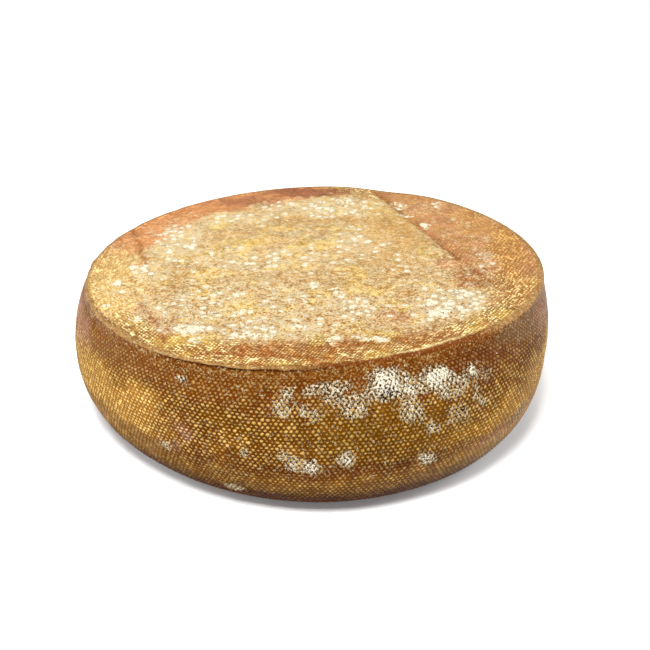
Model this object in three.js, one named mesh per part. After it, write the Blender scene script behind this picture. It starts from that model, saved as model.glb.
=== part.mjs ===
// A whole round of washed-rind cheese, lying flat, as it comes off the shelf of a ripening cellar.
//
// The wheel is one solid. Its base is flat, its side swells to a belly below half height and leans in
// towards the top, and the outline is a little out of round, as a wheel drained in cloth always is.
// The follower of the press has squeezed a thin lip out over the top edge. The lip is sharp and
// undercut on one stretch and rubs away into a soft shoulder on the rest. A fold of the cloth has
// left a low step across the top.
//
// Millimetres, +Z up, the origin at the middle of the base. -Y is the side with the sharp lip.

import * as THREE from "three";

// Driving dimensions

const BELLY_RADIUS = 140;
const BELLY_HEIGHT = 40.5;
const HEIGHT = 89.5;
const BASE_RADIUS = 108.5;
const RIM_RADIUS = 129.3;

const BASE_ROUNDNESS = 2.06; // 2 turns from base to belly along an ellipse, more is squarer
const SHOULDER_POWER = 2.44; // how late the side leans in between the belly and the rim

// How far the outline strays from a circle: lobes round the wheel, cosine part, sine part
const BELLY_WAVES = [
  [2, 2.14, -1.27],
  [3, -1.75, 1.16],
  [4, 0.24, -0.64],
];
const RIM_WAVES = [
  [1, 1.32, 2.2],
  [2, 3.86, 5.08],
  [3, 2.86, -2.28],
];

// How much taller the wheel stands for each step of one belly radius along X and along Y
const TALLER_ALONG_X = 0.015;
const TALLER_ALONG_Y = -0.004;

// Lumps of a hand's breadth in the side: lobes round the wheel, waves up the side, size, turn
const SIDE_LUMPS = [
  [7, 0.8, 0.35, 0.4],
  [11, 1.3, 0.28, 2.1],
  [16, 1.9, 0.16, 4.4],
];

// Lumps in the top: waves across the wheel along X and along Y, size, shift
const TOP_LUMPS = [
  [1.3, 0.9, 0.5, 0.7],
  [-1.9, 1.6, 0.35, 2.9],
  [2.6, 2.9, 0.22, 5.0],
];
const TOP_DISH = 0.8; // how far the middle of the top has sunk

// The lip squeezed out over the top edge
const LIP_TURN = THREE.MathUtils.degToRad(-150); // the way it is sharpest
const LIP_WEAKEST = 0.1;
const LIP_OVERHANG = 0.5;
const LIP_DROP = 0.25; // how far below the top it stands out most
const LIP_THICKNESS = 0.55;
const LIP_BEAD = 0.7; // how far it stands above the top
const LIP_BEAD_WIDTH = 3;
const UNDERCUT_TURN = THREE.MathUtils.degToRad(-110);
const UNDERCUT_WIDTH = THREE.MathUtils.degToRad(22);
const UNDERCUT_DEPTH = 0.8;
const UNDERCUT_DROP = 1.5;
const UNDERCUT_THICKNESS = 0.7;
// On a short stretch the lip hangs out further
const TONGUE_TURN = THREE.MathUtils.degToRad(-109);
const TONGUE_WIDTH = THREE.MathUtils.degToRad(8);
const TONGUE_OVERHANG = 1.1;

// The top edge: its rounding, and how much the side below bulges to meet it
const SHARP_CORNER = 1;
const SOFT_CORNER = 2.6;
const CORNER_FILL = 0.75;
const CORNER_FILL_HEIGHT = 4;

// The step that a fold of the cloth has left across the top, from the back edge to the right one
const FOLD_START = new THREE.Vector2(42, 118);
const FOLD_END = new THREE.Vector2(104, -24);
const FOLD_DROP = 1.2;
const FOLD_WIDTH = 9;
const FOLD_FADE = 30; // the length over which the step dies away past its end
// Where the fold runs out over the back edge it has left a shallow notch
const NOTCH_TURN = THREE.MathUtils.degToRad(67);
const NOTCH_WIDTH = THREE.MathUtils.degToRad(9);
const NOTCH_DEPTH = 1.5;
const NOTCH_HEIGHT = 12;
const NOTCH_REACH = 0.06; // how far it reaches in and out from the rim, as a share of the radius

// How finely the surface is divided
const COLUMNS = 108;
const BASE_TURN_RINGS = 9;
const SIDE_RINGS = 8;
const RIM_DROPS = [7, 5.2, 3.8, 2.8, 2.1, 1.6, 1.2, 0.8, 0.45, 0.15, 0];
const TOP_SHARES = [0.985, 0.97, 0.94, 0.89, 0.82, 0.73, 0.63, 0.52, 0.4, 0.27, 0.13];
const BASE_SHARES = [0.55, 1];

// Small helpers

function wander(waves, angle) {
  let sum = 0;
  for (const [lobes, cosinePart, sinePart] of waves) {
    sum += cosinePart * Math.cos(lobes * angle) + sinePart * Math.sin(lobes * angle);
  }
  return sum;
}

function bump(distance, width) {
  return Math.exp(-((distance / width) ** 2));
}

// The same round the wheel, between two angles
function bumpRound(angle, middle, width) {
  return bump(Math.atan2(Math.sin(angle - middle), Math.cos(angle - middle)), width);
}

// The wheel's form

function lipStrength(angle) {
  const facing = 0.5 + 0.5 * Math.cos(angle - LIP_TURN);
  return THREE.MathUtils.lerp(LIP_WEAKEST, 1, THREE.MathUtils.smoothstep(facing, 0.2, 0.72));
}

function sideProfile(z) {
  if (z < BELLY_HEIGHT) {
    const below = 1 - z / BELLY_HEIGHT;
    const swell = (1 - below ** BASE_ROUNDNESS) ** (1 / BASE_ROUNDNESS);
    return BASE_RADIUS + (BELLY_RADIUS - BASE_RADIUS) * swell;
  }
  const above = (z - BELLY_HEIGHT) / (HEIGHT - BELLY_HEIGHT);
  return BELLY_RADIUS - (BELLY_RADIUS - RIM_RADIUS) * above ** SHOULDER_POWER;
}

function sideLumps(angle, z) {
  const share = z / HEIGHT;
  let sum = 0;
  for (const [lobes, waves, size, turn] of SIDE_LUMPS) {
    sum += size * Math.sin(lobes * angle + turn) * Math.cos(2 * Math.PI * waves * share + turn);
  }
  return sum * Math.sin(Math.PI * share);
}

function cornerInset(angle, drop) {
  const corner = THREE.MathUtils.lerp(SOFT_CORNER, SHARP_CORNER, lipStrength(angle));
  const rest = Math.max(corner - drop, 0);
  const fill = CORNER_FILL * corner * bump(drop, CORNER_FILL_HEIGHT);
  return corner - Math.sqrt(corner ** 2 - rest ** 2) - fill;
}

function lipPush(angle, drop) {
  const tongue = TONGUE_OVERHANG * bumpRound(angle, TONGUE_TURN, TONGUE_WIDTH);
  const overhang = (LIP_OVERHANG + tongue) * bump(drop - LIP_DROP, LIP_THICKNESS);
  const undercut = UNDERCUT_DEPTH * bump(drop - UNDERCUT_DROP, UNDERCUT_THICKNESS);
  const sharpest = bumpRound(angle, UNDERCUT_TURN, UNDERCUT_WIDTH);
  return lipStrength(angle) * (overhang - undercut * sharpest);
}

// The radius of the round outline at one height, before it goes out of round
function roundRadius(angle, z) {
  const drop = HEIGHT - z;
  return sideProfile(z) + sideLumps(angle, z) + lipPush(angle, drop) - cornerInset(angle, drop);
}

function outOfRound(angle, z) {
  const rimShare = (z / HEIGHT) ** 2;
  return 1 + (wander(BELLY_WAVES, angle) + rimShare * wander(RIM_WAVES, angle)) / BELLY_RADIUS;
}

function foldStep(x, y) {
  const along = new THREE.Vector2().subVectors(FOLD_END, FOLD_START);
  const reach = along.length();
  along.normalize();
  const fromStart = new THREE.Vector2(x, y).sub(FOLD_START);
  const run = fromStart.dot(along);
  const side = along.y * fromStart.x - along.x * fromStart.y;
  const fallen = THREE.MathUtils.smoothstep(-side, -FOLD_WIDTH / 2, FOLD_WIDTH / 2);
  const fade = 1 - THREE.MathUtils.smoothstep(run, reach, reach + FOLD_FADE);
  return -FOLD_DROP * fallen * fade;
}

// How far the top stands above or below its plane at a share of the way from its middle to its edge
function topRelief(angle, share, edgeRadius) {
  const x = share * edgeRadius * Math.cos(angle);
  const y = share * edgeRadius * Math.sin(angle);
  let lumps = 0;
  for (const [wavesX, wavesY, size, shift] of TOP_LUMPS) {
    lumps += size * Math.sin((Math.PI * (wavesX * x + wavesY * y)) / BELLY_RADIUS + shift);
  }
  const inwards = 1 - share ** 6;
  const dish = TOP_DISH * (1 - share ** 2);
  const bead = LIP_BEAD * lipStrength(angle) * bump((1 - share) * edgeRadius, LIP_BEAD_WIDTH);
  return inwards * (lumps - dish + foldStep(x, y)) + bead * (1 - bump((1 - share) * edgeRadius, 1));
}

function surfacePoint(angle, radius, z) {
  const stretched = radius * outOfRound(angle, Math.min(z, HEIGHT));
  const x = stretched * Math.cos(angle);
  const y = stretched * Math.sin(angle);
  const taller = 1 + (TALLER_ALONG_X * x + TALLER_ALONG_Y * y) / BELLY_RADIUS;
  const fromRim = stretched / RIM_RADIUS - 1;
  const nearRim = bump(fromRim, NOTCH_REACH) * bump(Math.max(HEIGHT - z, 0), NOTCH_HEIGHT);
  const notch = NOTCH_DEPTH * bumpRound(angle, NOTCH_TURN, NOTCH_WIDTH) * nearRim;
  return new THREE.Vector3(x, y, z * taller - notch);
}

// The rings of the surface, from the base outwards, up the side and over the rim to the top. Each is
// a function from the way round the wheel to a point.

function wheelRings() {
  const rings = [];
  for (const share of BASE_SHARES) {
    rings.push((angle) => surfacePoint(angle, BASE_RADIUS * share, 0));
  }
  for (let i = 1; i <= BASE_TURN_RINGS; i++) {
    const turned = (Math.PI / 2) * (i / BASE_TURN_RINGS);
    const z = BELLY_HEIGHT * (1 - Math.cos(turned) ** (2 / BASE_ROUNDNESS));
    rings.push((angle) => surfacePoint(angle, roundRadius(angle, z), z));
  }
  const sideTop = HEIGHT - RIM_DROPS[0];
  for (let i = 1; i < SIDE_RINGS; i++) {
    const z = THREE.MathUtils.lerp(BELLY_HEIGHT, sideTop, i / SIDE_RINGS);
    rings.push((angle) => surfacePoint(angle, roundRadius(angle, z), z));
  }
  for (const drop of RIM_DROPS) {
    const z = HEIGHT - drop;
    rings.push((angle) => surfacePoint(angle, roundRadius(angle, z), z));
  }
  for (const share of TOP_SHARES) {
    rings.push((angle) => {
      const edge = roundRadius(angle, HEIGHT);
      return surfacePoint(angle, edge * share, HEIGHT + topRelief(angle, share, edge));
    });
  }
  return rings;
}

// One closed mesh: a fan over the base, bands between the rings, and a fan over the top

function wheelGeometry() {
  const rings = wheelRings();
  const points = [new THREE.Vector3(0, 0, 0)];
  for (const ring of rings) {
    for (let column = 0; column < COLUMNS; column++) {
      points.push(ring((2 * Math.PI * column) / COLUMNS));
    }
  }
  const topMiddle = points.length;
  points.push(surfacePoint(0, 0, HEIGHT + topRelief(0, 0, RIM_RADIUS)));

  const corner = (ring, column) => 1 + ring * COLUMNS + (column % COLUMNS);
  const triangles = [];
  for (let column = 0; column < COLUMNS; column++) {
    triangles.push(0, corner(0, column + 1), corner(0, column));
    for (let ring = 0; ring < rings.length - 1; ring++) {
      const near = corner(ring, column);
      const next = corner(ring, column + 1);
      const nearAbove = corner(ring + 1, column);
      const nextAbove = corner(ring + 1, column + 1);
      triangles.push(near, next, nextAbove);
      triangles.push(near, nextAbove, nearAbove);
    }
    const last = rings.length - 1;
    triangles.push(topMiddle, corner(last, column), corner(last, column + 1));
  }

  const geometry = new THREE.BufferGeometry();
  geometry.setFromPoints(points);
  geometry.setIndex(triangles);
  geometry.computeVertexNormals();
  return geometry;
}

// The out-of-round outline is moved so that the middle of its bounding box is over the origin
function centreOnBase(geometry) {
  geometry.computeBoundingBox();
  const middle = geometry.boundingBox.getCenter(new THREE.Vector3());
  geometry.translate(-middle.x, -middle.y, -geometry.boundingBox.min.z);
}

const rind = new THREE.MeshStandardMaterial({ color: 0xb5803f, roughness: 0.6, metalness: 0 });

const geometry = wheelGeometry();
centreOnBase(geometry);

const wheel = new THREE.Mesh(geometry, rind);
wheel.name = "cheese_wheel";

const model = new THREE.Group();
model.add(wheel);

export default model;
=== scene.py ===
"""A whole round of washed-rind cheese lying on a pale floor, in soft studio light.

The wheel is modelled as one closed skin. A profile is spun into the side, two grids close the base
and the top, and the whole is then pushed into its uneven form. On the side every second vertex lies on
a knob that the drainage cloth has printed into the rind, and on the top every fourth. Sizes are in
millimetres, and turned to metres where they meet Blender.
"""

import math
import random

import bpy
import numpy as np
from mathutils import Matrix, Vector, noise


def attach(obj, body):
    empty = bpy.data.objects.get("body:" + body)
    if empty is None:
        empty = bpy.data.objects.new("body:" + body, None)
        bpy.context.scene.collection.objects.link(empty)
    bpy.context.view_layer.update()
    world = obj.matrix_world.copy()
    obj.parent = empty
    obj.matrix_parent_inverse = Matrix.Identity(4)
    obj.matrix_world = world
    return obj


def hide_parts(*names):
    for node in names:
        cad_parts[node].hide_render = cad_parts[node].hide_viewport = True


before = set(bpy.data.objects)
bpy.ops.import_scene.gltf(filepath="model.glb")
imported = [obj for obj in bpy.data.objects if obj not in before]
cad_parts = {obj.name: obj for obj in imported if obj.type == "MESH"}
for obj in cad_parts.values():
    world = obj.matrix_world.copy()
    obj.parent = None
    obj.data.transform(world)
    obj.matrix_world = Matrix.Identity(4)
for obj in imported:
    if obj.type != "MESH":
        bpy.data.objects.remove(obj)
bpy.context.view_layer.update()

MM = 0.001

# ---------------------------------------------------------------- the wheel's sizes

BELLY_RADIUS = 140
BELLY_HEIGHT = 40.5
HEIGHT = 89.5
BASE_RADIUS = 108.5
RIM_RADIUS = 129.3
BASE_ROUNDNESS = 2.06
SHOULDER_POWER = 2.44

# How far the outline strays from a circle: lobes round the wheel, cosine part, sine part
BELLY_WAVES = [(2, 2.14, -1.27), (3, -1.75, 1.16), (4, 0.24, -0.64)]
RIM_WAVES = [(1, 1.32, 2.2), (2, 3.86, 5.08), (3, 2.86, -2.28)]
# The slight lean, which makes one side taller: how much of the height for each belly radius
TALLER_ALONG_X = 0.015
TALLER_ALONG_Y = -0.004

# Lumps in the side: lobes round, waves up, size, turn. Lumps in the top: waves along X and Y, size, shift
SIDE_LUMPS = [(7, 0.8, 0.35, 0.4), (11, 1.3, 0.28, 2.1), (16, 1.9, 0.16, 4.4)]
TOP_LUMPS = [(1.3, 0.9, 0.5, 0.7), (-1.9, 1.6, 0.35, 2.9), (2.6, 2.9, 0.22, 5.0)]
TOP_DISH = 0.8

LIP_TURN = math.radians(-150)
LIP_WEAKEST = 0.1
LIP_OVERHANG = 0.5
LIP_DROP = 0.25
LIP_THICKNESS = 0.55
LIP_BEAD = 0.7
LIP_BEAD_WIDTH = 3
LIP_WAVER = [(23, 0.16, 0.3), (41, 0.14, 2.2), (67, 0.1, 4.1)]  # lobes round the wheel, size, turn
LIP_NICK_TURN = math.radians(-96.3)
LIP_NICK_WIDTH = math.radians(0.9)
LIP_NICK = 0.9
# The groove between the lip and the flat of the top: how far it lies from the edge
LIP_GROOVE_FROM = math.radians(-172)
LIP_GROOVE_TO = math.radians(-112)
LIP_GROOVE_INSET = 1.1
LIP_GROOVE_MORE = 1.6  # further in where it lies furthest
LIP_GROOVE_WIDEST = math.radians(-136)
LIP_GROOVE_SPREAD = math.radians(16)
LIP_GROOVE_DEPTH = 0.7
LIP_GROOVE_WIDTH = 0.9
UNDERCUT_TURN = math.radians(-108)
UNDERCUT_WIDTH = math.radians(20)
UNDERCUT_DEPTH = 0.8
UNDERCUT_DROP = 1.15
UNDERCUT_THICKNESS = 0.7
TONGUE_TURN = math.radians(-109)
TONGUE_WIDTH = math.radians(8)
TONGUE_OVERHANG = 1.1
SHARP_CORNER = 1
SOFT_CORNER = 2.6
CORNER_FILL = 0.75
CORNER_FILL_HEIGHT = 4

FOLD_START = np.array([42.0, 118.0])
FOLD_END = np.array([104.0, -24.0])
FOLD_DROP = 1.2
FOLD_WIDTH = 5
FOLD_FADE = 30
FOLD_GROOVE = 0.4
FOLD_GROOVE_WIDTH = 2.0
NOTCH_TURN = math.radians(67)
NOTCH_WIDTH = math.radians(9)
NOTCH_DEPTH = 1.5
NOTCH_HEIGHT = 12
NOTCH_REACH = 0.06

# The cloth's print on the side: knobs round the wheel, and the distance between rows of knobs
SIDE_KNOBS = 298
SIDE_ROW = 1.98
# On the top the cloth lay flat: knob to knob along a row, row to row, and the way the rows run
TOP_KNOB = 2.18
TOP_ROW = 1.905
TOP_ROWS_RUN = math.radians(66.6)

KNOB_RISE = 0.7  # from the valleys of the print to the crests of its knobs
CRUST_RISE = 0.55  # of thick mould over the rind
PIT_DEPTH = 0.8
WEIGHT_STEPS = 60  # in the vertex groups that carry the relief
RIM_ROW_DROPS = [7.4, 6.2, 5.2, 4.4, 3.7, 3.1, 2.6, 2.15, 1.7, 1.3, 0.95, 0.65, 0.38, 0.17, 0.04, 0]
NOMINAL_EDGE = 129.0  # the top's radius before the wheel goes out of round
BASE_CELL = (4.36, 3.81)  # the base is flat, so its grid is coarse
GRID_GAP = 1.3  # left between a grid and the ring round it, and then filled

# ---------------------------------------------------------------- helpers


def bump(distance, width):
    return np.exp(-((distance / width) ** 2))


def bump_round(angle, middle, width):
    """The same round the wheel, between two angles."""
    return bump(np.arctan2(np.sin(angle - middle), np.cos(angle - middle)), width)


def smooth(value, low, high):
    t = np.clip((value - low) / (high - low), 0, 1)
    return t * t * (3 - 2 * t)


def wander(waves, angle):
    return sum(c * np.cos(n * angle) + s * np.sin(n * angle) for n, c, s in waves)


def mottle(points, size, octaves, seed):
    """Smooth noise between 0 and 1 at points in millimetres, with blots about size across."""
    shift = Vector((seed, 1.7 * seed, -seed))
    values = [noise.fractal(Vector(p) / size + shift, 1.0, 2.0, octaves) for p in points]
    return np.clip(0.5 + 0.5 * np.array(values), 0, 1)


# ---------------------------------------------------------------- the wheel's form


def lip_strength(angle):
    facing = 0.5 + 0.5 * np.cos(angle - LIP_TURN)
    return LIP_WEAKEST + (1 - LIP_WEAKEST) * smooth(facing, 0.2, 0.72)


def side_profile(z):
    below = np.clip(1 - z / BELLY_HEIGHT, 0, 1)
    above = np.clip((z - BELLY_HEIGHT) / (HEIGHT - BELLY_HEIGHT), 0, 1)
    swell = (1 - below**BASE_ROUNDNESS) ** (1 / BASE_ROUNDNESS)
    lean = (BELLY_RADIUS - RIM_RADIUS) * above**SHOULDER_POWER
    return BASE_RADIUS + (BELLY_RADIUS - BASE_RADIUS) * swell - lean


def side_lumps(angle, z):
    share = z / HEIGHT
    lumps = sum(
        size * np.sin(lobes * angle + turn) * np.cos(2 * math.pi * waves * share + turn)
        for lobes, waves, size, turn in SIDE_LUMPS
    )
    return lumps * np.sin(math.pi * share)


def corner_inset(angle, drop):
    corner = SOFT_CORNER + (SHARP_CORNER - SOFT_CORNER) * lip_strength(angle)
    rest = np.clip(corner - drop, 0, corner)
    fill = CORNER_FILL * corner * bump(drop, CORNER_FILL_HEIGHT)
    return corner - np.sqrt(corner**2 - rest**2) - fill


def lip_push(angle, drop):
    tongue = TONGUE_OVERHANG * bump_round(angle, TONGUE_TURN, TONGUE_WIDTH)
    waver = sum(size * np.sin(lobes * angle + turn) for lobes, size, turn in LIP_WAVER)
    nick = LIP_NICK * bump_round(angle, LIP_NICK_TURN, LIP_NICK_WIDTH)
    hang = LIP_DROP + waver + nick
    overhang = (LIP_OVERHANG + tongue + waver + nick / 2) * bump(drop - hang, LIP_THICKNESS)
    undercut = UNDERCUT_DEPTH * bump(drop - UNDERCUT_DROP, UNDERCUT_THICKNESS)
    sharpest = bump_round(angle, UNDERCUT_TURN, UNDERCUT_WIDTH)
    return lip_strength(angle) * (overhang - undercut * sharpest)


def round_radius(angle, z):
    drop = HEIGHT - z
    return side_profile(z) + side_lumps(angle, z) + lip_push(angle, drop) - corner_inset(angle, drop)


def out_of_round(angle, z):
    rim_share = (z / HEIGHT) ** 2
    return 1 + (wander(BELLY_WAVES, angle) + rim_share * wander(RIM_WAVES, angle)) / BELLY_RADIUS


def fold_place(x, y):
    """How far a point of the top lies along the cloth's fold and to the left of it, in millimetres."""
    along = (FOLD_END - FOLD_START) / np.hypot(*(FOLD_END - FOLD_START))
    run = (x - FOLD_START[0]) * along[0] + (y - FOLD_START[1]) * along[1]
    left = (x - FOLD_START[0]) * along[1] - (y - FOLD_START[1]) * along[0]
    return run, left


def fold_relief(x, y):
    run, left = fold_place(x, y)
    reach = np.hypot(*(FOLD_END - FOLD_START))
    fade = 1 - smooth(run, reach, reach + FOLD_FADE)
    step = FOLD_DROP * smooth(-left, -FOLD_WIDTH / 2, FOLD_WIDTH / 2)
    groove = FOLD_GROOVE * bump(left, FOLD_GROOVE_WIDTH)
    return -fade * (step + groove)


def lip_groove_place(angle):
    """How far in from the edge the lip's groove runs, and how clear it is."""
    inset = LIP_GROOVE_INSET + LIP_GROOVE_MORE * bump_round(angle, LIP_GROOVE_WIDEST, LIP_GROOVE_SPREAD)
    clear = smooth(angle, LIP_GROOVE_FROM, LIP_GROOVE_FROM + 0.12)
    return inset, clear * (1 - smooth(angle, LIP_GROOVE_TO - 0.1, LIP_GROOVE_TO))


def top_relief(x, y, share, angle):
    lumps = sum(
        size * np.sin(math.pi * (wx * x + wy * y) / BELLY_RADIUS + shift)
        for wx, wy, size, shift in TOP_LUMPS
    )
    edge = (1 - share) * NOMINAL_EDGE
    inwards = 1 - share**6
    bead = LIP_BEAD * lip_strength(angle) * bump(edge, LIP_BEAD_WIDTH) * (1 - bump(edge, 1))
    inset, clear = lip_groove_place(angle)
    groove = LIP_GROOVE_DEPTH * clear * bump(edge - inset, LIP_GROOVE_WIDTH)
    return inwards * (lumps - TOP_DISH * (1 - share**2) + fold_relief(x, y)) + bead - groove


def stand_taller(x, y, z):
    from_rim = np.hypot(x, y) / RIM_RADIUS - 1
    near_rim = bump(from_rim, NOTCH_REACH) * bump(np.maximum(HEIGHT - z, 0), NOTCH_HEIGHT)
    notch = NOTCH_DEPTH * bump_round(np.arctan2(y, x), NOTCH_TURN, NOTCH_WIDTH) * near_rim
    return z * (1 + (TALLER_ALONG_X * x + TALLER_ALONG_Y * y) / BELLY_RADIUS) - notch


def cloth_drift(angle, z):
    """How far the cloth had slipped along the side and up it, in millimetres."""
    middle = smooth(z, 4, 22) * (1 - smooth(z, HEIGHT - 22, HEIGHT - 9))
    lean = 0.04 + 0.2 * np.sin(angle + math.radians(80))
    along = lean * (z - HEIGHT / 2) + 0.7 * np.sin(5 * angle + z / 17) + 0.4 * np.sin(13 * angle - z / 9)
    up = 0.9 * np.sin(3 * angle + 0.6) + 0.5 * np.sin(8 * angle + z / 14 + 2)
    return along * middle, up * middle


# ---------------------------------------------------------------- making the skin


def only(obj, mode="OBJECT"):
    """Leaves one object selected and active, in the given mode."""
    if bpy.context.mode != "OBJECT":
        bpy.ops.object.mode_set(mode="OBJECT")
    bpy.ops.object.select_all(action="DESELECT")
    obj.select_set(True)
    bpy.context.view_layer.objects.active = obj
    if mode != "OBJECT":
        bpy.ops.object.mode_set(mode=mode)
    return obj


def places(obj):
    co = np.zeros(len(obj.data.vertices) * 3)
    obj.data.vertices.foreach_get("co", co)
    return co.reshape(-1, 3) / MM


def put(obj, points):
    obj.data.vertices.foreach_set("co", (points * MM).ravel())
    obj.data.update()


def row_heights():
    """The heights of the rings of vertices up the side, evenly spaced along the profile."""
    z = np.concatenate([
        BELLY_HEIGHT * (1 - np.cos(np.linspace(0, math.pi / 2, 400)[:-1])),
        np.linspace(BELLY_HEIGHT, HEIGHT - RIM_ROW_DROPS[0], 400),
    ])
    steps = np.hypot(np.diff(z), np.diff(side_profile(z)))
    arc = np.concatenate([[0], np.cumsum(steps)])
    count = round(arc[-1] / SIDE_ROW)
    up_side = np.interp(np.linspace(0, arc[-1], count + 1), arc, z)
    return np.concatenate([up_side[:-1], HEIGHT - np.array(RIM_ROW_DROPS)])


def spin_side(rows):
    """The side: a line of vertices extruded up the profile, then spun right round."""
    radii = side_profile(rows)
    radii = radii + (NOMINAL_EDGE - radii[-1]) * smooth(rows, HEIGHT - RIM_ROW_DROPS[0], HEIGHT)
    bpy.ops.mesh.primitive_plane_add(size=MM, location=(0, 0, 0))
    side = only(bpy.context.object, "EDIT")
    bpy.ops.mesh.select_all(action="SELECT")
    bpy.ops.mesh.merge(type="CENTER")
    bpy.ops.transform.translate(value=(radii[0] * MM, 0, rows[0] * MM))
    for i in range(1, len(rows)):
        step = ((radii[i] - radii[i - 1]) * MM, 0, (rows[i] - rows[i - 1]) * MM)
        bpy.ops.mesh.extrude_vertices_move(TRANSFORM_OT_translate={"value": step})
    bpy.ops.mesh.select_all(action="SELECT")
    bpy.ops.mesh.spin(steps=2 * SIDE_KNOBS, angle=2 * math.pi, center=(0, 0, 0), axis=(0, 0, 1))
    bpy.ops.mesh.select_all(action="SELECT")
    bpy.ops.mesh.remove_doubles(threshold=0.01 * MM)
    bpy.ops.object.mode_set(mode="OBJECT")
    return side


def lay_grid(radius, z, cell):
    """A round piece of grid whose lines follow the rows of knobs on the flat faces."""
    across = [2 * math.ceil(radius / c) for c in cell]
    bpy.ops.mesh.primitive_grid_add(x_subdivisions=across[0], y_subdivisions=across[1], size=MM)
    grid = only(bpy.context.object, "EDIT")
    bpy.ops.mesh.select_all(action="SELECT")
    bpy.ops.transform.resize(value=(across[0] * cell[0], across[1] * cell[1], 1))
    bpy.ops.transform.translate(value=(0, 0, z * MM))
    bpy.ops.mesh.select_all(action="DESELECT")
    bpy.ops.object.mode_set(mode="OBJECT")
    points = places(grid)
    outside = np.hypot(points[:, 0], points[:, 1]) > radius - GRID_GAP
    grid.data.vertices.foreach_set("select", outside)
    bpy.ops.object.mode_set(mode="EDIT")
    bpy.ops.mesh.select_mode(type="VERT")
    bpy.ops.mesh.delete(type="VERT")
    bpy.ops.object.mode_set(mode="OBJECT")
    points = places(grid)
    x, y = points[:, 0].copy(), points[:, 1].copy()
    points[:, 0] = math.cos(TOP_ROWS_RUN) * x - math.sin(TOP_ROWS_RUN) * y
    points[:, 1] = math.sin(TOP_ROWS_RUN) * x + math.cos(TOP_ROWS_RUN) * y
    put(grid, points)
    return grid


def close_ring(skin, z):
    """Fills the gap between a grid's edge and the ring of vertices round it."""
    only(skin, "EDIT")
    bpy.ops.mesh.select_mode(type="EDGE")
    bpy.ops.mesh.select_all(action="DESELECT")
    bpy.ops.mesh.select_non_manifold(extend=False, use_wire=False, use_multi_face=False,
                                     use_non_contiguous=False, use_verts=False)
    bpy.ops.object.mode_set(mode="OBJECT")
    heights = places(skin)[:, 2]
    edges = np.zeros(len(skin.data.edges) * 2, dtype=int)
    skin.data.edges.foreach_get("vertices", edges)
    edges = edges.reshape(-1, 2)
    chosen = np.zeros(len(edges), dtype=bool)
    skin.data.edges.foreach_get("select", chosen)
    level = np.abs(heights[edges] - z).max(axis=1) < 0.01
    bpy.ops.object.mode_set(mode="EDIT")
    bpy.ops.mesh.select_all(action="DESELECT")
    bpy.ops.object.mode_set(mode="OBJECT")
    skin.data.edges.foreach_set("select", chosen & level)
    bpy.ops.object.mode_set(mode="EDIT")
    bpy.ops.mesh.fill(use_beauty=True)
    bpy.ops.object.mode_set(mode="OBJECT")


def make_skin(rows):
    side = spin_side(rows)
    top = lay_grid(NOMINAL_EDGE, HEIGHT, (TOP_KNOB / 2, TOP_ROW / 2))
    base = lay_grid(BASE_RADIUS, 0, BASE_CELL)
    only(side)
    top.select_set(True)
    base.select_set(True)
    bpy.ops.object.join()
    side.name = "net_printed_wheel"
    side.data.name = side.name
    close_ring(side, HEIGHT)
    close_ring(side, 0)
    only(side, "EDIT")
    bpy.ops.mesh.select_all(action="SELECT")
    bpy.ops.mesh.normals_make_consistent(inside=False)
    bpy.ops.object.mode_set(mode="OBJECT")
    return side


class Skin:
    """What each vertex of the skin is, worked out before the skin is pushed out of round."""

    def __init__(self, obj, rows):
        points = places(obj)
        x, y, z = points.T
        self.radius = np.hypot(x, y)
        self.angle = np.arctan2(y, x)
        self.z = z
        self.on_top = (z > HEIGHT - 0.01) & (self.radius < NOMINAL_EDGE - 0.1)
        self.on_base = (z < 0.01) & (self.radius < BASE_RADIUS - 0.1)
        self.on_side = ~self.on_top & ~self.on_base
        self.row = np.abs(z[:, None] - rows[None, :]).argmin(axis=1)
        self.column = np.round(self.angle / math.pi * SIDE_KNOBS).astype(int) % (2 * SIDE_KNOBS)
        turned = (math.cos(TOP_ROWS_RUN) * x + math.sin(TOP_ROWS_RUN) * y,
                  -math.sin(TOP_ROWS_RUN) * x + math.cos(TOP_ROWS_RUN) * y)
        self.flat_m = turned[0] / (TOP_KNOB / 2)
        self.flat_n = turned[1] / TOP_ROW
        m = np.where(self.on_side, self.column, self.flat_m)
        n = np.where(self.on_side, self.row, self.flat_n)
        self.knob = np.cos(math.pi * m) * np.cos(math.pi * n)  # 1 on a crest, -1 in a valley


def print_lattice(obj, skin, rows):
    """A UV map that counts half knobs along the rows and rows across them, on every face."""
    loops = len(obj.data.loops)
    vertex = np.zeros(loops, dtype=int)
    obj.data.loops.foreach_get("vertex_index", vertex)
    starts = np.zeros(len(obj.data.polygons), dtype=int)
    obj.data.polygons.foreach_get("loop_start", starts)
    totals = np.zeros(len(obj.data.polygons), dtype=int)
    obj.data.polygons.foreach_get("loop_total", totals)
    face = np.repeat(np.arange(len(starts)), totals)
    high = np.minimum.reduceat(skin.z[vertex], starts) > HEIGHT - 0.01
    low = np.maximum.reduceat(skin.z[vertex], starts) < 0.01
    flat = (high | low)[face]
    column = skin.column[vertex].astype(float)
    widest = np.maximum.reduceat(column, starts)[face]
    narrowest = np.minimum.reduceat(column, starts)[face]
    across_seam = (widest - narrowest > SIDE_KNOBS) & (column < SIDE_KNOBS)
    column[across_seam] += 2 * SIDE_KNOBS
    uv = np.empty((loops, 2))
    uv[:, 0] = np.where(flat, skin.flat_m[vertex], column)
    uv[:, 1] = np.where(flat, skin.flat_n[vertex], skin.row[vertex])
    layer = obj.data.uv_layers.new(name="cloth")
    layer.data.foreach_set("uv", uv.ravel())


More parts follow.
